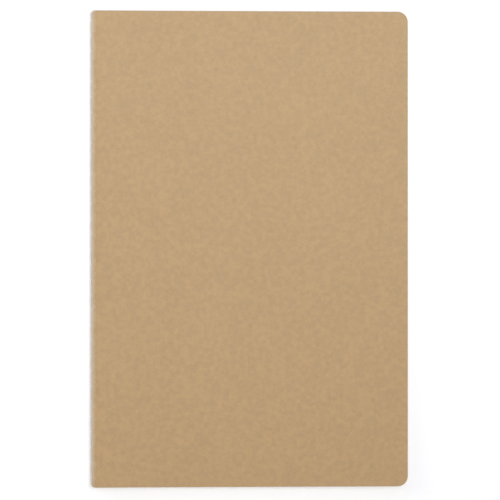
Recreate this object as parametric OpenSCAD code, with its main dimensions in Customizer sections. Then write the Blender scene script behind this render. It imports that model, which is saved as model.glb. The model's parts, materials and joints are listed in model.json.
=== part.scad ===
// Pocket notebook: one section of folded sheets, sewn through the fold into a soft card cover.
// It lies on its back cover, with the spine along Y on the -X side and the front cover on top.
// The origin is on the underside, in the middle of the closed notebook.

/* [Notebook] */
// Height of the notebook, along its spine
book_h = 150; // [90:1:210]
// Width of the closed notebook, from the stitches to the fore-edge
book_w = 100; // [60:1:150]
// Radius of the two round corners at the fore-edge
corner_r = 3.2; // [1:0.1:10]

/* [Pages] */
// Number of sheets, each folded once to make two leaves
sheets = 16; // [4:1:18]
// Thickness of a sheet
paper_t = 0.1; // [0.07:0.01:0.14]
// Air between one sheet and the next
paper_gap = 0.012; // [0.01:0.002:0.03]
// Inside radius of the innermost fold
inner_fold_r = 0.22; // [0.2:0.01:0.4]

/* [Cover] */
// Thickness of the cover card
card_t = 0.35; // [0.25:0.01:0.5]

/* [Sewing] */
// Diameter of the thread
thread_d = 0.3; // [0.2:0.01:0.34]
// Distance between one needle hole and the next
stitch_len = 4.8; // [3:0.1:8]

/* [Fits] */
// Room around the thread in a needle hole and in the groove it lies in
thread_room = 0.03; // [0.02:0.01:0.06]
// Room between what bends at the spine and what stays flat
turn_gap = 0.08; // [0.06:0.01:0.2]

/* [Hidden] */
$fn = 64;
cut = 1;
paper_pitch = paper_t + paper_gap;
card_fold_r = inner_fold_r + sheets * paper_pitch;
spine_r = card_fold_r + card_t;
book_t = 2 * spine_r;
thread_r = thread_d / 2;
// All the covers and leaves turn about one line along Y, at half the thickness.
hinge_x = thread_r + spine_r - book_w / 2;
hinge_z = spine_r;
leaf_w = book_w / 2 - hinge_x;
// The folds stay inside this radius from the hinge line, and the flat leaves outside it.
turn_r = spine_r + thread_r + 0.24;
// The seam runs off both ends of the spine and is trimmed with it, part of the way through a stitch.
whole_stitches = floor(book_h / stitch_len) - 1;
first_hole_y = -whole_stitches * stitch_len / 2;
needle_hole_r = thread_r + thread_room;
// The needle thread lies half sunk in the card, and the bobbin thread just inside the innermost fold.
needle_line_x = -spine_r;
bobbin_line_x = thread_r + thread_room - inner_fold_r;
// The two threads lock half way through the sheets.
lock_x = (needle_line_x + bobbin_line_x) / 2;

card_color = [0.75, 0.64, 0.49];
paper_color = [0.95, 0.93, 0.87];
thread_color = [0.92, 0.89, 0.82];

function two_digits(k) = k < 10 ? str("0", k) : str(k);
function front_leaf_name(k) = str("front_leaf_", two_digits(k));
function sheet_fold_name(k) = str("sheet_fold_", two_digits(k));
function back_leaf_name(k) = str("back_leaf_", two_digits(k));
// Inside radius of a sheet's fold: sheet 1 lies against the cover.
function sheet_fold_r(k) = inner_fold_r + (sheets - k) * paper_pitch;

// Puts what is drawn about the hinge line in its place.
module at_hinge() {
    translate([hinge_x, 0, hinge_z]) children();
}

// A profile across the spine, extruded along it.
module along_spine(length) {
    rotate([90, 0, 0]) linear_extrude(length, center = true) children();
}

// A cylinder along the spine.
module rod_along_spine(radius, length) {
    rotate([90, 0, 0]) cylinder(r = radius, h = length, center = true);
}

// Outline of a cover or leaf, seen from above, from the hinge line to the fore-edge.
module leaf_outline() {
    translate([0, -book_h / 2]) square([leaf_w - corner_r, book_h]);
    translate([leaf_w - corner_r - cut, corner_r - book_h / 2]) square([corner_r + cut, book_h - 2 * corner_r]);
    for (side = [-1, 1])
        translate([leaf_w - corner_r, side * (book_h / 2 - corner_r)]) circle(corner_r);
}

// A flat leaf or cover on the upper side of the hinge line, clear of the folds that turn inside it.
module flat_leaf(inner_r, thickness) {
    difference() {
        translate([0, 0, inner_r]) linear_extrude(thickness) leaf_outline();
        rod_along_spine(turn_r + turn_gap, book_h + cut);
    }
}

// Turns an upper leaf into the lower one.
module lower_side() {
    mirror([0, 0, 1]) children();
}

// A half disc with a straight-sided tongue: the outline of a fold, or of the room inside it.
module fold_outline(radius, length) {
    circle(radius);
    translate([0, -radius]) square([length, 2 * radius]);
}

// A fold across the spine: a half ring and two straight legs, cut round at the turning radius.
module fold_profile(inner_r, thickness) {
    intersection() {
        difference() {
            fold_outline(inner_r + thickness, turn_r + cut);
            fold_outline(inner_r, turn_r + 2 * cut);
        }
        circle(turn_r);
    }
}

// Short rods across the spine at every needle hole, from one distance from the hinge line to another.
module at_every_hole(radius, from_x, to_x) {
    for (i = [0:whole_stitches])
        translate([from_x, first_hole_y + i * stitch_len, 0])
            rotate([0, 90, 0]) cylinder(r = radius, h = to_x - from_x);
}

// A fold with its row of needle holes.
module pierced_fold(inner_r, thickness) {
    difference() {
        along_spine(book_h) fold_profile(inner_r, thickness);
        at_every_hole(needle_hole_r, -inner_r - thickness - cut, 0);
    }
}

module front_cover() {
    color(card_color) at_hinge() flat_leaf(card_fold_r, card_t);
}

module back_cover() {
    color(card_color) at_hinge() lower_side() flat_leaf(card_fold_r, card_t);
}

module cover_spine() {
    color(card_color) at_hinge() difference() {
        pierced_fold(card_fold_r, card_t);
        translate([needle_line_x, 0, 0]) rod_along_spine(needle_hole_r, book_h + cut);
    }
}

module front_leaf(k) {
    color(paper_color) at_hinge() flat_leaf(sheet_fold_r(k), paper_t);
}

module back_leaf(k) {
    color(paper_color) at_hinge() lower_side() flat_leaf(sheet_fold_r(k), paper_t);
}

module sheet_fold(k) {
    color(paper_color) at_hinge() pierced_fold(sheet_fold_r(k), paper_t);
}

// Outer half of the seam: a run along the spine and a leg into every hole.
module needle_thread() {
    color(thread_color) at_hinge() {
        translate([needle_line_x, 0, 0]) rod_along_spine(thread_r, book_h);
        at_every_hole(thread_r, needle_line_x, lock_x);
    }
}

// Inner half of the seam, in the middle of the section.
module bobbin_thread() {
    color(thread_color) at_hinge() {
        translate([bobbin_line_x, 0, 0]) rod_along_spine(thread_r, book_h);
        at_every_hole(thread_r, lock_x, bobbin_line_x);
    }
}

front_cover();
cover_spine();
back_cover();
needle_thread();
bobbin_thread();
for (k = [1:sheets]) {
    front_leaf(k);
    sheet_fold(k);
    back_leaf(k);
}
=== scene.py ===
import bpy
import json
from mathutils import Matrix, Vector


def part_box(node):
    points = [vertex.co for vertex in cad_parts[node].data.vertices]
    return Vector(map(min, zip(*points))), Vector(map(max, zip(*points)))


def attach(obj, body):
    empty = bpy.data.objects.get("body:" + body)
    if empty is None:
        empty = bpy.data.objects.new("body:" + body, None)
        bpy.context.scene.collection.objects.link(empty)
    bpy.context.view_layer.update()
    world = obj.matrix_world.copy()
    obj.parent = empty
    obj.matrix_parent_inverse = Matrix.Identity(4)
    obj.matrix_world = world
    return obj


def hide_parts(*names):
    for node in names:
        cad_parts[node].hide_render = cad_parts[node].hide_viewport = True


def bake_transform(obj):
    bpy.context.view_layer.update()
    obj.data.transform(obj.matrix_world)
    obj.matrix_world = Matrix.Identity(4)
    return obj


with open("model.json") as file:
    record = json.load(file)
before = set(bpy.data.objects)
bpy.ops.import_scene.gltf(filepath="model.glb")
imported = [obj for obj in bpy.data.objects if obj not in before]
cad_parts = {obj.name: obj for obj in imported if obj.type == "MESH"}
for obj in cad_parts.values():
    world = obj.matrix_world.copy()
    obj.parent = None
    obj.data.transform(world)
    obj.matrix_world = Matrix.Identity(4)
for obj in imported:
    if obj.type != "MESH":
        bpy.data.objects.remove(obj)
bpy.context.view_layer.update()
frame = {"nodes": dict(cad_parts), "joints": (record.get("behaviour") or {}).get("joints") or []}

import json
import math
import random

import bpy
from mathutils import Vector

mm = 0.001
scene = bpy.context.scene
print("frame loaded:", len(frame["nodes"]), "CAD nodes")

floatSocket, intSocket, vectorSocket = "NodeSocketFloat", "NodeSocketInt", "NodeSocketVector"
shapeSocket, materialSocket = "NodeSocketGeometry", "NodeSocketMaterial"


class Bench:
    # lays nodes into one tree, so each line below reads as one step
    def __init__(self, tree):
        self.tree = tree

    def feed(self, socket, value):
        if isinstance(value, bpy.types.NodeSocket):
            self.tree.links.new(value, socket)
        else:
            socket.default_value = value

    def add(self, kind, *values, feeds=None, **settings):
        node = self.tree.nodes.new(kind)
        for name, value in settings.items():
            setattr(node, name, value)
        for place, value in enumerate(values):
            self.feed(node.inputs[place], value)
        for name, value in (feeds or {}).items():
            self.feed(node.inputs[name], value)
        return node

    def calc(self, operation, *values):
        return self.add("ShaderNodeMath", *values, operation=operation).outputs[0]

    def ramp(self, value, fromLow, fromHigh, toLow=0.0, toHigh=1.0, curve="LINEAR"):
        return self.add("ShaderNodeMapRange", value, fromLow, fromHigh, toLow, toHigh,
                        interpolation_type=curve).outputs[0]

    def split(self, vector):
        return self.add("ShaderNodeSeparateXYZ", vector).outputs

    def join(self, x, y, z):
        return self.add("ShaderNodeCombineXYZ", x, y, z).outputs[0]

    def length(self, x, y):
        return self.add("ShaderNodeVectorMath", self.join(x, y, 0.0), operation="LENGTH").outputs[1]

    def scale(self, vector, size):
        return self.add("ShaderNodeVectorMath", vector, operation="SCALE", feeds={"Scale": size}).outputs[0]

    def noise(self, vector, scale, detail=2.0, roughness=0.5):
        return self.add("ShaderNodeTexNoise", feeds={"Vector": vector, "Scale": scale, "Detail": detail,
                                                     "Roughness": roughness}).outputs[0]

    def offHole(self, along, pitch):
        # how far along from the nearest needle hole, as a signed share of a stitch
        step = self.calc("DIVIDE", along, pitch)
        return self.calc("SUBTRACT", step, self.calc("ROUND", step))

    def mix(self, share, first, second):
        node = self.add("ShaderNodeMix", data_type="RGBA")
        for socket, value in ((node.inputs[0], share), (node.inputs[6], first), (node.inputs[7], second)):
            self.feed(socket, value)
        return node.outputs[2]

    def lay(self, mask, share, color, over):
        return self.mix(self.calc("MULTIPLY", mask, share), color, over)

    def group(self, tree, **feeds):
        node = self.add("ShaderNodeGroup", node_tree=tree)
        for label, value in feeds.items():
            self.feed(node.inputs[label.replace("_", " ")], value)
        return node.outputs

    def mark(self, shape, name, value, kind="FLOAT", **feeds):
        return self.add("GeometryNodeStoreNamedAttribute", shape, data_type=kind, domain="POINT",
                        feeds={"Name": name, "Value": value, **feeds}).outputs[0]

    def marked(self, name):
        return self.add("GeometryNodeInputNamedAttribute", data_type="FLOAT", feeds={"Name": name}).outputs[0]

    def smooth(self, shape):
        return self.add("GeometryNodeSetShadeSmooth", shape, feeds={"Shade Smooth": True}).outputs[0]

    def finishShape(self, shape, material):
        real = self.add("GeometryNodeRealizeInstances", shape).outputs[0]
        return self.add("GeometryNodeSetMaterial", real, feeds={"Material": material}).outputs[0]


def newTree(name, kind, takes, gives):
    tree = bpy.data.node_groups.new(name, kind)
    for label, socketType, start in takes:
        socket = tree.interface.new_socket(name=label, in_out="INPUT", socket_type=socketType)
        if start is not None:
            socket.default_value = start
    for label, socketType in gives:
        tree.interface.new_socket(name=label, in_out="OUTPUT", socket_type=socketType)
    bench = Bench(tree)
    return tree, bench, bench.add("NodeGroupInput").outputs, bench.add("NodeGroupOutput").inputs


def runTree(tree, name, choices):
    # builds one piece with a geometry tree and hands back a plain mesh object
    start = bpy.data.objects.new(name + "Start", bpy.data.meshes.new(name + "Start"))
    scene.collection.objects.link(start)
    modifier = start.modifiers.new(tree.name, "NODES")
    modifier.node_group = tree
    sockets = {item.name: item.identifier for item in tree.interface.items_tree if item.in_out == "INPUT"}
    for label, value in choices.items():
        modifier[sockets[label]] = value
    start.update_tag()
    bpy.context.view_layer.update()
    graph = bpy.context.evaluated_depsgraph_get()
    mesh = bpy.data.meshes.new_from_object(start.evaluated_get(graph), preserve_all_data_layers=True,
                                           depsgraph=graph)
    bpy.data.objects.remove(start)
    piece = bpy.data.objects.new(name, mesh)
    mesh.name = name
    scene.collection.objects.link(piece)
    return piece


hingeX, hingeY, hingeZ = next(j["pos_m"] for j in frame["joints"] if j["name"] == "front_cover_turn")
sheetCount = sum(name.startswith("sheet_fold_") for name in frame["nodes"])
coverLow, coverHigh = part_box("front_cover")
threadLow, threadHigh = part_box("needle_thread")
bookHeight = coverHigh.y - coverLow.y
leafWidth = coverHigh.x - hingeX
spineRadius = coverHigh.z - hingeZ
threadRadius = (threadHigh.z - threadLow.z) / 2

notebook = {
    "cornerRadius": 3.2 * mm,    # of the card and of every sheet, at the fore-edge
    "stitchLength": 4.8 * mm,    # from one needle hole to the next
}

fibre = {
    "turns": (12, 57, 101, 148),    # degrees: the ways the strands lie
    "curlScale": 500.0,
    "curlReach": 0.6 * mm,
    "softness": 0.12,
}


def fibreGroup(choice):
    # short curled fibres lying in every direction, as in uncoated paper and card
    tree, bench, given, result = newTree(
        "paperFibres", "ShaderNodeTree",
        [("Place", vectorSocket, None), ("Length", floatSocket, 1.6 * mm),
         ("Width", floatSocket, 0.09 * mm), ("Share", floatSocket, 0.6), ("Shift", floatSocket, 0.0)],
        [("Fibres", floatSocket), ("Relief", floatSocket)])
    curl = bench.add("ShaderNodeTexNoise", feeds={
        "Vector": given["Place"], "Scale": choice["curlScale"], "Detail": 1.0}).outputs[1]
    curl = bench.add("ShaderNodeVectorMath", curl, (0.5, 0.5, 0.5), operation="SUBTRACT").outputs[0]
    curl = bench.scale(curl, choice["curlReach"])
    place = bench.add("ShaderNodeVectorMath", given["Place"], curl, operation="ADD").outputs[0]
    along = bench.calc("DIVIDE", 1.0, given["Length"])
    across = bench.calc("DIVIDE", 1.0, given["Width"])
    best = None
    for turn in choice["turns"]:
        turned = bench.add("ShaderNodeVectorRotate", place, rotation_type="Z_AXIS",
                           feeds={"Angle": math.radians(turn)}).outputs[0]
        x, y, z = bench.split(turned)
        x = bench.calc("MULTIPLY_ADD", x, along, turn)    # turn also moves each layer to its own noise
        y = bench.calc("MULTIPLY_ADD", y, across, given["Shift"])
        strand = bench.noise(bench.join(x, y, bench.calc("MULTIPLY", z, along)), 1.0, detail=0.0)
        best = strand if best is None else bench.calc("MAXIMUM", best, strand)
    edge = bench.calc("ADD", given["Share"], choice["softness"])
    bench.feed(result["Fibres"], bench.ramp(best, given["Share"], edge, curve="SMOOTHSTEP"))
    bench.feed(result["Relief"], best)
    return tree


edgeBreakup = {
    "breakupScale": 900.0,
    "breakupGain": 4.0,
}


def edgeShadeAndWearGroup(choice):
    # how close a point is to the cut edge of a sheet with round corners, broken up the way handled edges are:
    # the mask for the painted shade on the cover's cut edge and for the aged edges of the pages
    tree, bench, given, result = newTree(
        "edgeShadeAndWear", "ShaderNodeTree",
        [("Place", vectorSocket, None), ("Half width", floatSocket, leafWidth),
         ("Half height", floatSocket, bookHeight / 2), ("Corner", floatSocket, notebook["cornerRadius"]),
         ("Reach", floatSocket, 0.5 * mm), ("Breakup", floatSocket, 0.5)],
        [("Edge shade and wear", floatSocket)])
    over = []    # how far past the straight part of each side
    for value, half in zip(bench.split(given["Place"])[:2], ("Half width", "Half height")):
        straight = bench.calc("SUBTRACT", given[half], given["Corner"])
        over.append(bench.calc("SUBTRACT", bench.calc("ABSOLUTE", value), straight))
    corner = bench.length(*[bench.calc("MAXIMUM", value, 0.0) for value in over])
    inside = bench.calc("MAXIMUM", *over)
    distance = bench.calc("ADD", bench.calc("MINIMUM", inside, 0.0), corner)
    fromEdge = bench.calc("SUBTRACT", given["Corner"], distance)
    rough = bench.noise(given["Place"], choice["breakupScale"], detail=3.0)
    rough = bench.calc("MULTIPLY", bench.calc("SUBTRACT", rough, 0.5),
                       bench.calc("MULTIPLY", given["Breakup"], choice["breakupGain"]))
    fromEdge = bench.calc("MULTIPLY_ADD", rough, given["Reach"], fromEdge)
    bench.feed(result["Edge shade and wear"], bench.ramp(fromEdge, 0.0, given["Reach"], 1.0, 0.0, curve="SMOOTHSTEP"))
    return tree


paperFibres, edgeShadeAndWear = fibreGroup(fibre), edgeShadeAndWearGroup(edgeBreakup)


def newMaterial(name):
    material = bpy.data.materials.new(name)
    material.use_nodes = True
    bench = Bench(material.node_tree)
    place = bench.add("ShaderNodeAttribute", attribute_name="sheetPlace").outputs["Vector"]
    return material, bench, material.node_tree.nodes["Principled BSDF"], place


def foreEdge(bench):
    # each sheet's own distance from its fold to its cut edge
    return bench.add("ShaderNodeAttribute", attribute_name="foreEdge").outputs["Fac"]


def toned(bench, choice, cloud, flock, base):
    # the base colour, lighter and darker with the large blotches and the small ones
    large, small = choice["cloudTone"], choice["flockTone"]
    tone = bench.calc("ADD", bench.ramp(cloud, 0.3, 0.7, -large, large),
                      bench.ramp(flock, 0.25, 0.75, -small, small))
    return bench.add("ShaderNodeHueSaturation", feeds={
        "Value": bench.calc("ADD", tone, 1.0), "Color": base}).outputs[0]


def dress(bench, shader, choice, color, rough, relief):
    bump = bench.add("ShaderNodeBump", feeds={"Distance": choice["bump"], "Height": relief})
    bench.feed(shader.inputs["Base Color"], color)
    bench.feed(shader.inputs["Roughness"], bench.ramp(rough, 0.2, 0.8, *choice["roughness"]))
    bench.feed(shader.inputs["Normal"], bump.outputs[0])
    shader.inputs["Specular IOR Level"].default_value = choice["specular"]


kraftCard = {
    "footBrown": (0.398, 0.253, 0.114, 1),    # the foot of the cover is painted a shade warmer than the head: painted light falling from the head
    "headBrown": (0.398, 0.265, 0.130, 1),
    "paleFibre": (0.52, 0.395, 0.25, 1),
    "darkFibreAndHoleShade": (0.28, 0.173, 0.079, 1),
    # the next colour is a painted highlight along the rounded spine fold, which also lightens the fold where
    # it turns away from the lamps
    "foldHighlight": (0.66, 0.565, 0.44, 1),
    "edgeShadeAndWear": (0.345, 0.232, 0.118, 1),     # painted shade along the card's cut edge
    "cloudScale": 45.0,                       # blotches of a few centimetres
    "cloudTone": 0.012,
    "flockScale": 650.0,                      # pulp flocks under a millimetre
    "flockTone": 0.095,
    "paleShare": 0.18,
    "darkShare": 0.28,
    "edgeShare": 0.5,
    "foldShare": 0.68,
    "holeShare": 0.65,
    "foldHighlightStart": 0.6 * mm,
    "foldHighlightEnd": 2.4 * mm,
    "foldRaggedness": 1.7 * mm,
    "foldFlecks": -1.1 * mm,
    "holeRadius": 0.20 * mm,
    "holeSoftness": 2.2,                      # the hole's shade ends at this many radii
    "roughness": (0.60, 0.74),
    "specular": 0.5,
    "bump": 0.03 * mm,
}


def makeKraftCard(choice):
    material, bench, shader, place = newMaterial("kraftCard")
    u, v = bench.split(place)[:2]    # along the card from the spine, and up it
    cloud = bench.noise(place, choice["cloudScale"], detail=4.0, roughness=0.55)
    flock = bench.noise(place, choice["flockScale"], detail=3.0, roughness=0.42)
    # painted light: up the cover the colour runs from the foot's brown to the head's paler brown, as if lit
    # from the head
    paintedHeadLight = bench.ramp(bench.calc("MULTIPLY_ADD", cloud, 0.04, v), -bookHeight / 2, bookHeight / 2)
    color = toned(bench, choice, cloud, flock, bench.mix(paintedHeadLight, choice["footBrown"], choice["headBrown"]))

    pale = bench.group(paperFibres, Place=place, Length=1.5 * mm, Width=0.14 * mm, Share=0.64, Shift=3.0)
    dark = bench.group(paperFibres, Place=place, Length=0.9 * mm, Width=0.13 * mm, Share=0.70, Shift=41.0)
    flecks = bench.group(paperFibres, Place=place, Length=0.8 * mm, Width=0.12 * mm, Share=0.5, Shift=73.0)
    # painted shade along the card's cut edge, within about a third of a millimetre of it
    edgeShade = bench.group(edgeShadeAndWear, Place=place, Half_width=foreEdge(bench), Reach=0.35 * mm, Breakup=0.6)
    color = bench.lay(pale["Fibres"], choice["paleShare"], color, choice["paleFibre"])
    color = bench.lay(dark["Fibres"], choice["darkShare"], color, choice["darkFibreAndHoleShade"])
    color = bench.lay(edgeShade["Edge shade and wear"], choice["edgeShare"], color, choice["edgeShadeAndWear"])

    # a painted highlight along the spine fold, fading out from the fold line with ragged noise
    ragged = bench.noise(place, 420.0, detail=5.0, roughness=0.7)
    fromFoldLine = bench.calc("MULTIPLY_ADD", ragged, choice["foldRaggedness"], bench.calc("ABSOLUTE", u))
    fromFoldLine = bench.calc("MULTIPLY_ADD", flecks["Relief"], choice["foldFlecks"], fromFoldLine)
    foldHighlightMask = bench.ramp(fromFoldLine, choice["foldHighlightStart"], choice["foldHighlightEnd"], 1.0, 0.0)
    color = bench.lay(foldHighlightMask, choice["foldShare"], color, choice["foldHighlight"])

    # a painted shade in each needle hole, in the dark fibre colour
    pitch = notebook["stitchLength"]
    hole = bench.length(u, bench.calc("MULTIPLY", bench.offHole(v, pitch), pitch))
    hole = bench.ramp(hole, choice["holeRadius"], choice["holeSoftness"] * choice["holeRadius"],
                      1.0, 0.0, curve="SMOOTHSTEP")
    color = bench.lay(hole, choice["holeShare"], color, choice["darkFibreAndHoleShade"])

    relief = bench.calc("ADD", bench.calc("MULTIPLY", pale["Relief"], 0.5),
                        bench.calc("MULTIPLY", flock, 0.8))
    relief = bench.calc("SUBTRACT", relief, bench.calc("MULTIPLY", hole, 3.0))
    dress(bench, shader, choice, color, flock, relief)
    return material


pagePaper = {
    "cream": (0.815, 0.765, 0.67, 1),
    "fibre": (0.70, 0.655, 0.56, 1),
    "edge": (0.70, 0.64, 0.52, 1),
    "cloudScale": 60.0,
    "cloudTone": 0.01,
    "flockScale": 1100.0,
    "flockTone": 0.02,
    "fibreShare": 0.22,
    "edgeShare": 0.35,
    "roughness": (0.85, 0.95),
    "specular": 0.2,
    "bump": 0.012 * mm,
}


def makePagePaper(choice):
    material, bench, shader, place = newMaterial("pagePaper")
    cloud = bench.noise(place, choice["cloudScale"], detail=3.0)
    flock = bench.noise(place, choice["flockScale"], detail=3.0, roughness=0.6)
    color = toned(bench, choice, cloud, flock, choice["cream"])
    fibres = bench.group(paperFibres, Place=place, Length=1.1 * mm, Width=0.08 * mm, Share=0.66, Shift=7.0)
    aged = bench.group(edgeShadeAndWear, Place=place, Half_width=foreEdge(bench), Reach=0.9 * mm, Breakup=0.4)
    color = bench.lay(fibres["Fibres"], choice["fibreShare"], color, choice["fibre"])
    color = bench.lay(aged["Edge shade and wear"], choice["edgeShare"], color, choice["edge"])
    relief = bench.calc("ADD", flock, bench.calc("MULTIPLY", fibres["Relief"], 0.5))
    dress(bench, shader, choice, color, flock, relief)
    return material


sewingThread = {
    "cotton": (0.74, 0.69, 0.59, 1),
    "shade": (0.50, 0.44, 0.35, 1),
    "lintAround": 9.0,
    "lintAlong": 1400.0,
    "sheen": 0.3,
    "roughness": (0.72, 0.90),
    "specular": 0.2,
    "bump": 0.02 * mm,
}


def makeSewingThread(choice):
    material, bench, shader, place = newMaterial("sewingThread")
    around, along, ply = bench.split(place)    # the stitch tree stores these
    lint = bench.join(bench.calc("MULTIPLY", around, choice["lintAround"]),
                      bench.calc("MULTIPLY", along, choice["lintAlong"]), ply)
    lint = bench.noise(lint, 1.0, detail=3.0)
    shade = bench.calc("MULTIPLY", bench.ramp(ply, 0.0, 1.0, 0.9, 0.0), bench.ramp(lint, 0.3, 0.7, 0.6, 1.0))
    dress(bench, shader, choice, bench.mix(shade, choice["cotton"], choice["shade"]), lint, lint)
    shader.inputs["Sheen Weight"].default_value = choice["sheen"]
    return material


kraftMaterial = makeKraftCard(kraftCard)
pageMaterial = makePagePaper(pagePaper)
threadMaterial = makeSewingThread(sewingThread)
print("materials made")


def foldedSheetTree():
    # one sheet folded round the hinge line, from its back fore-edge round the fold to its front fore-edge
    tree, bench, given, result = newTree(
        "foldedSheet", "GeometryNodeTree",
        [("Fold radius", floatSocket, 2 * mm), ("Thickness", floatSocket, 0.1 * mm),
         ("Leaf width", floatSocket, leafWidth), ("Height", floatSocket, bookHeight),
         ("Corner radius", floatSocket, notebook["cornerRadius"]),
         ("Hinge X", floatSocket, hingeX), ("Hinge Z", floatSocket, hingeZ),
         ("Back trim", floatSocket, 0.0), ("Front trim", floatSocket, 0.0),
         ("Front drop", floatSocket, 0.0), ("Drop length", floatSocket, 20 * mm),
         ("Spine line", floatSocket, hingeX - spineRadius), ("Spine corner", floatSocket, 0.0),
         ("Stitch length", floatSocket, notebook["stitchLength"]),
         ("Dimple", floatSocket, 0.0), ("Dimple reach", floatSocket, 1 * mm),
         ("Fold columns", intSocket, 16), ("Leaf columns", intSocket, 14),
         ("Corner rows", intSocket, 8), ("Middle rows", intSocket, 10),
         ("Pattern shift", floatSocket, 0.0), ("Material", materialSocket, None)],
        [("Sheet", shapeSocket)])

    columns = bench.calc("MULTIPLY_ADD", given["Leaf columns"], 2.0, given["Fold columns"])
    rows = bench.calc("MULTIPLY_ADD", given["Corner rows"], 2.0, given["Middle rows"])
    foldShare = bench.calc("DIVIDE", given["Fold columns"], columns)
    middleShare = bench.calc("DIVIDE", given["Middle rows"], rows)
    grid = bench.add("GeometryNodeMeshGrid", feeds={
        "Size X": 2.0, "Size Y": 2.0,
        "Vertices X": bench.calc("ADD", columns, 1.0), "Vertices Y": bench.calc("ADD", rows, 1.0)})
    grid = grid.outputs["Mesh"]

    # the grid is thickened first, as two coincident layers, and then each layer is put at its own radius
    thick = bench.add("GeometryNodeExtrudeMesh", grid, feeds={"Offset Scale": 0.0, "Individual": False})
    outer = bench.mark(thick.outputs["Mesh"], "layer", 1.0, Selection=thick.outputs["Top"])
    inner = bench.add("GeometryNodeFlipFaces", grid).outputs[0]
    both = bench.add("GeometryNodeJoinGeometry")
    bench.feed(both.inputs[0], outer)
    bench.feed(both.inputs[0], inner)

    s, t = bench.split(bench.add("GeometryNodeInputPosition").outputs[0])[:2]    # -1 to 1 across and up
    layer = bench.marked("layer")
    acrossShare, upShare = bench.calc("ABSOLUTE", s), bench.calc("ABSOLUTE", t)
    onFront = bench.calc("GREATER_THAN", s, 0.0)
    bend = bench.ramp(s, bench.calc("MULTIPLY", foldShare, -1.0), foldShare)

    # up the sheet, with the round corners at the fore-edge
    cornerTurn = bench.ramp(upShare, middleShare, 1.0, 0.0, math.pi / 2)
    straight = bench.ramp(upShare, 0.0, middleShare)
    halfHeight = bench.calc("MULTIPLY", given["Height"], 0.5)
    halfStraight = bench.calc("SUBTRACT", halfHeight, given["Corner radius"])
    up = bench.calc("MULTIPLY_ADD", bench.calc("SINE", cornerTurn), given["Corner radius"],
                    bench.calc("MULTIPLY", straight, halfStraight))
    up = bench.calc("MULTIPLY", up, bench.calc("SIGN", t))
    inset = bench.calc("SUBTRACT", 1.0, bench.calc("COSINE", cornerTurn))
    inset = bench.calc("MULTIPLY", given["Corner radius"], inset)

    # out along the leaf, with finer columns near the fold
    trim = bench.add("GeometryNodeSwitch", onFront, given["Back trim"], given["Front trim"],
                     input_type="FLOAT")
    reach = bench.calc("SUBTRACT", bench.calc("ADD", given["Leaf width"], trim.outputs[0]), inset)
    out = bench.calc("POWER", bench.ramp(acrossShare, foldShare, 1.0), 1.5)
    out = bench.calc("MULTIPLY", out, reach)
    turn = bench.calc("MULTIPLY", bend, math.pi)
    arc = bench.calc("MULTIPLY", bench.calc("SUBTRACT", turn, math.pi / 2), given["Fold radius"])
    across = bench.calc("MULTIPLY_ADD", out, bench.calc("SIGN", s), arc)

    # each needle hole pulls the outer face of the fold in a little
    fromHole = bench.calc("MULTIPLY", bench.offHole(up, given["Stitch length"]), given["Stitch length"])
    pull = bench.ramp(bench.length(across, fromHole), 0.0, given["Dimple reach"], given["Dimple"], 0.0,
                      curve="SMOOTHSTEP")
    radius = bench.calc("SUBTRACT", given["Thickness"], pull)
    radius = bench.calc("MULTIPLY_ADD", layer, radius, given["Fold radius"])
    x = bench.calc("SUBTRACT", bench.calc("ADD", given["Hinge X"], out),
                   bench.calc("MULTIPLY", radius, bench.calc("SINE", turn)))

    # the corners at the spine are rubbed round
    short = bench.calc("DIVIDE", bench.calc("SUBTRACT", x, given["Spine line"]), given["Spine corner"])
    short = bench.calc("SUBTRACT", 1.0, short)
    short = bench.calc("MINIMUM", bench.calc("MAXIMUM", short, 0.0), 1.0)
    rubbed = bench.calc("SUBTRACT", 1.0, bench.calc("MULTIPLY", short, short))
    rubbed = bench.calc("SUBTRACT", 1.0, bench.calc("SQRT", rubbed))
    rubbed = bench.calc("DIVIDE", bench.calc("MULTIPLY", rubbed, given["Spine corner"]), halfHeight)
    up = bench.calc("MULTIPLY", up, bench.calc("SUBTRACT", 1.0, rubbed))

    # the front side settles past the fold
    drop = bench.ramp(out, 0.0, given["Drop length"], 0.0, given["Front drop"], curve="SMOOTHSTEP")
    z = bench.calc("SUBTRACT", given["Hinge Z"], bench.calc("MULTIPLY", radius, bench.calc("COSINE", turn)))
    z = bench.calc("SUBTRACT", z, bench.calc("MULTIPLY", drop, onFront))

    # distance from the fold, height, and a different pattern for each side of the paper
    pattern = bench.calc("MULTIPLY_ADD", layer, 0.03, given["Pattern shift"])
    halfArc = bench.calc("MULTIPLY", given["Fold radius"], math.pi / 2)
    sheet = bench.mark(both.outputs[0], "sheetPlace", bench.join(across, up, pattern), "FLOAT_VECTOR")
    sheet = bench.mark(sheet, "bend", bend)
    sheet = bench.mark(sheet, "foreEdge", bench.calc("ADD", given["Leaf width"], halfArc))
    sheet = bench.add("GeometryNodeSetPosition", sheet, feeds={"Position": bench.join(x, up, z)}).outputs[0]
    sheet = bench.add("GeometryNodeMergeByDistance", sheet, feeds={"Distance": 0.001 * mm}).outputs[0]
    sheet = bench.smooth(sheet)
    edgeAngle = bench.add("GeometryNodeInputMeshEdgeAngle").outputs[0]
    sharp = bench.calc("GREATER_THAN", edgeAngle, math.radians(40))
    sheet = bench.add("GeometryNodeSetShadeSmooth", sheet, domain="EDGE",
                      feeds={"Selection": sharp, "Shade Smooth": False}).outputs[0]
    bench.feed(result["Sheet"], bench.finishShape(sheet, given["Material"]))
    return tree


foldedSheet = foldedSheetTree()

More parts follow.
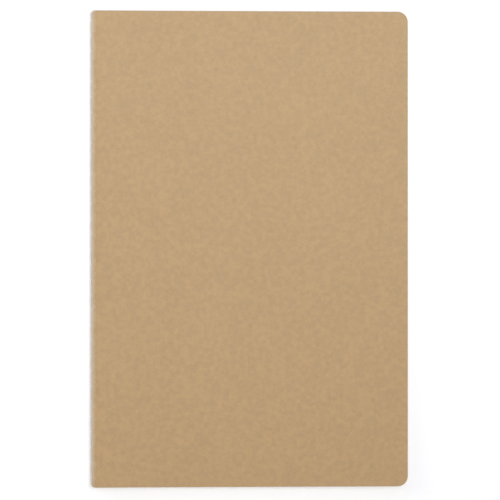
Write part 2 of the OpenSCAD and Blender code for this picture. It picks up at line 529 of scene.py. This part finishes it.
cardCover = {
    "frontDrop": 0.40 * mm,      # the front side settles on the pages past the fold
    "dropLength": 22 * mm,
    "foldColumns": 32,
    "cornerRows": 12,
    "middleRows": 330,           # enough for the dimples that the stitches press
    "spineCorner": 0.8 * mm,
    "dimple": 0.07 * mm,
    "dimpleReach": 1.0 * mm,
}
pageSheets = {
    "trimSpread": 0.05 * mm,     # how far one leaf's cut edge stands from the next
    "patternStep": 0.1,          # each sheet has its own part of the paper's pattern
    "foldColumns": 16,
    "cornerRows": 10,
    "middleRows": 10,
    "seed": 7,
}


def bendWithFold(piece):
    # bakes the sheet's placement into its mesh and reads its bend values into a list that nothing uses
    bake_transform(piece)
    evenTurn = [0.0] * len(piece.data.vertices)
    piece.data.attributes["bend"].data.foreach_get("value", evenTurn)


def makeSheet(name, frontNode, choice, material, **extra):
    low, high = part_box(frontNode)
    foldRadius = low.z - hingeZ
    choices = {
        "Fold radius": foldRadius, "Thickness": high.z - low.z,
        "Leaf width": high.x - hingeX, "Height": high.y - low.y,
        "Front drop": cardCover["frontDrop"], "Drop length": cardCover["dropLength"],
        "Spine corner": cardCover["spineCorner"], "Fold columns": choice["foldColumns"],
        "Corner rows": choice["cornerRows"], "Middle rows": choice["middleRows"], "Material": material}
    choices.update(extra)
    return runTree(foldedSheet, name, choices), foldRadius


cover, coverFold = makeSheet("card_cover", "front_cover", cardCover, kraftMaterial,
                             **{"Dimple": cardCover["dimple"], "Dimple reach": cardCover["dimpleReach"]})
bendWithFold(cover)
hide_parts("front_cover", "cover_spine", "back_cover")
print("cover folded")

dice = random.Random(pageSheets["seed"])
spread = pageSheets["trimSpread"]
for k in range(1, sheetCount + 1):
    number = f"{k:02d}"
    sheet, sheetFold = makeSheet(
        "page_sheet_" + number, "front_leaf_" + number, pageSheets, pageMaterial,
        **{"Back trim": dice.uniform(-spread, 0), "Front trim": dice.uniform(-spread, 0),
           "Pattern shift": k * pageSheets["patternStep"]})
    bendWithFold(sheet)
    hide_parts("front_leaf_" + number, "sheet_fold_" + number, "back_leaf_" + number)
print(sheetCount, "page sheets folded")

seam = {
    "outerHeight": bookHeight - 1.4 * mm,    # cut off where the card's corners are rubbed round
    "plies": 3,
    "plyDepth": 0.72,                        # the valley between two plies, as a share of the radius
    "sides": 12,
    "needle": {"Rise": 0.05 * mm, "Dive": 0.20 * mm, "Outward": -1.0, "Seed": 3.0},
    "bobbin": {"Rise": 0.0, "Dive": 0.14 * mm, "Outward": 1.0, "Seed": 8.0, "Sway": 0.02 * mm},
}


def stitchTree(choice):
    # one thread along the spine that dips into every needle hole, with its twisted plies
    tree, bench, given, result = newTree(
        "machineStitch", "GeometryNodeTree",
        [("Height", floatSocket, bookHeight), ("Stitch length", floatSocket, notebook["stitchLength"]),
         ("Thread radius", floatSocket, 0.15 * mm),
         ("Line X", floatSocket, 0.0), ("Line Z", floatSocket, 0.0), ("Outward", floatSocket, -1.0),
         ("Rise", floatSocket, 0.05 * mm), ("Dive", floatSocket, 0.6 * mm),
         ("Pinch", floatSocket, 0.6), ("Twist length", floatSocket, 0.9 * mm),
         ("Sway", floatSocket, 0.06 * mm), ("Steps", intSocket, 1100),
         ("Seed", floatSocket, 3.0), ("Material", materialSocket, None)],
        [("Thread", shapeSocket)])
    half = bench.calc("MULTIPLY", given["Height"], 0.5)
    foot = bench.join(0.0, bench.calc("MULTIPLY", half, -1.0), 0.0)
    line = bench.add("GeometryNodeCurvePrimitiveLine", feeds={
        "Start": foot, "End": bench.join(0.0, half, 0.0)}).outputs[0]
    line = bench.add("GeometryNodeResampleCurve", feeds={"Curve": line, "Count": given["Steps"]}).outputs[0]
    y = bench.split(bench.add("GeometryNodeInputPosition").outputs[0])[1]

    # between holes the thread rises, and at a hole it dives and is pinched thin
    share = bench.offHole(y, given["Stitch length"])
    offHole = bench.calc("ABSOLUTE", share)
    rise = bench.ramp(offHole, 0.05, 0.5, 0.0, given["Rise"], curve="SMOOTHSTEP")
    dive = bench.ramp(offHole, 0.0, 0.085, given["Dive"], 0.0, curve="SMOOTHSTEP")
    lift = bench.calc("MULTIPLY", bench.calc("SUBTRACT", rise, dive), given["Outward"])
    pinch = bench.ramp(offHole, 0.03, 0.11, 1.0, 0.0, curve="SMOOTHSTEP")
    pinch = bench.calc("MULTIPLY", pinch, bench.calc("SUBTRACT", 1.0, given["Pinch"]))
    wobble = bench.noise(bench.join(given["Seed"], bench.calc("MULTIPLY", y, 160.0), 0.0), 1.0, detail=1.0)
    sway = bench.calc("MULTIPLY", bench.calc("SUBTRACT", wobble, 0.5),
                      bench.calc("MULTIPLY", given["Sway"], 2.0))
    sway = bench.calc("ADD", sway, bench.calc("MULTIPLY", share, given["Sway"]))
    put = bench.join(bench.calc("ADD", given["Line X"], lift), y, bench.calc("ADD", given["Line Z"], sway))

    thread = bench.mark(line, "runLength", y)
    thread = bench.add("GeometryNodeSetPosition", thread, feeds={"Position": put}).outputs[0]
    twist = bench.calc("DIVIDE", bench.calc("MULTIPLY", y, 2 * math.pi), given["Twist length"])
    thread = bench.add("GeometryNodeSetCurveTilt", thread, feeds={"Tilt": twist}).outputs[0]
    thread = bench.add("GeometryNodeSetCurveRadius", thread,
                       feeds={"Radius": bench.calc("SUBTRACT", 1.0, pinch)}).outputs[0]

    # the thread's section has one lobe for each ply
    ring = bench.add("GeometryNodeCurvePrimitiveCircle", feeds={
        "Resolution": choice["sides"], "Radius": given["Thread radius"]}).outputs[0]
    place = bench.add("GeometryNodeInputPosition").outputs[0]
    px, py = bench.split(place)[:2]
    angle = bench.calc("ARCTAN2", py, px)
    lobe = bench.ramp(bench.calc("COSINE", bench.calc("MULTIPLY", angle, float(choice["plies"]))), -1.0, 1.0)
    ring = bench.mark(ring, "plyRise", lobe)
    ring = bench.mark(ring, "around", angle)
    lobed = bench.scale(place, bench.ramp(lobe, 0.0, 1.0, choice["plyDepth"], 1.0))
    ring = bench.add("GeometryNodeSetPosition", ring, feeds={"Position": lobed}).outputs[0]

    body = bench.add("GeometryNodeCurveToMesh", feeds={
        "Curve": thread, "Profile Curve": ring, "Fill Caps": True}).outputs[0]
    threadPlace = bench.join(bench.marked("around"), bench.marked("runLength"), bench.marked("plyRise"))
    body = bench.mark(body, "sheetPlace", threadPlace, "FLOAT_VECTOR")
    bench.feed(result["Thread"], bench.finishShape(bench.smooth(body), given["Material"]))
    return tree


machineStitch = stitchTree(seam)


def sewThread(name, node, lineX, height, choices):
    thread = runTree(machineStitch, name, {
        "Height": height, "Thread radius": threadRadius, "Line X": lineX, "Line Z": hingeZ,
        "Material": threadMaterial, **choices})
    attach(thread, "spine")
    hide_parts(node)


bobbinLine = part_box("bobbin_thread")[1].x - threadRadius
sewThread("outer_stitches", "needle_thread", hingeX - spineRadius, seam["outerHeight"], seam["needle"])
sewThread("inner_stitches", "bobbin_thread", bobbinLine, bookHeight, seam["bobbin"])
print("seam sewn")

studio = {
    "floor": (0.925, 0.925, 0.935, 1),
    "floorSize": 6,
    "floorRoughness": 0.9,
    "sky": 0.51,
    "skyTint": (0.995, 0.985, 0.99, 1),
    "lamps": [
        {"name": "overheadSoftbox", "place": (0.13, 0.04, 0.90), "aim": (0.02, 0.165, 0.0),
         "size": (0.62, 0.38), "power": 1.03, "spread": 65, "tint": (1.0, 0.99, 0.98)},
        {"name": "coolWindow", "place": (-0.04, 0.50, 0.36), "aim": (0.0, 0.05, 0.0),
         "size": (0.40, 0.40), "power": 0.2, "spread": 120, "tint": (0.35, 0.62, 1.0)},
        {"name": "spineFill", "place": (-0.55, 0.16, 0.34), "aim": (0.0, 0.04, 0.0),
         "size": (0.40, 0.40), "power": 0.85, "spread": 180, "tint": (1.0, 0.97, 0.94)},
    ],
    "cameraHeight": 1.10,
    "lens": 251.3,
    "sensor": 36,
    "aim": (0.0, -0.0003),
    "tilt": 3.5,    # degrees towards the spine
}


def makeStudio(choice):
    bpy.ops.mesh.primitive_plane_add(size=choice["floorSize"])
    floor = bpy.context.object
    floor.name = "floor"
    material = bpy.data.materials.new("floorPaper")
    material.use_nodes = True
    paint = material.node_tree.nodes["Principled BSDF"].inputs
    paint["Base Color"].default_value = choice["floor"]
    paint["Roughness"].default_value = choice["floorRoughness"]
    floor.data.materials.append(material)

    world = bpy.data.worlds.new("softSky")
    world.use_nodes = True
    sky = world.node_tree.nodes["Background"].inputs
    sky["Strength"].default_value = choice["sky"]
    sky["Color"].default_value = choice["skyTint"]
    scene.world = world

    for each in choice["lamps"]:
        light = bpy.data.lights.new(each["name"], "AREA")
        light.shape, light.energy, light.color = "RECTANGLE", each["power"], each["tint"]
        light.size, light.size_y = each["size"]
        light.spread = math.radians(each["spread"])
        lamp = bpy.data.objects.new(each["name"], light)
        lamp.location = each["place"]
        lamp.rotation_euler = (Vector(each["aim"]) - lamp.location).to_track_quat("-Z", "Y").to_euler()
        lamp.visible_camera = False
        scene.collection.objects.link(lamp)


def makeCamera(choice):
    lens = bpy.data.cameras.new("camera")
    lens.lens, lens.sensor_width = choice["lens"], choice["sensor"]
    camera = bpy.data.objects.new("camera", lens)
    tilt = math.radians(choice["tilt"])
    aim = Vector((*choice["aim"], 2 * hingeZ))    # on top of the closed cover
    camera.location = aim + choice["cameraHeight"] * Vector((-math.sin(tilt), 0, math.cos(tilt)))
    camera.rotation_euler = (0, -tilt, 0)
    scene.collection.objects.link(camera)
    scene.camera = camera


makeStudio(studio)
makeCamera(studio)
scene.view_settings.view_transform = "Standard"
print("stage set")
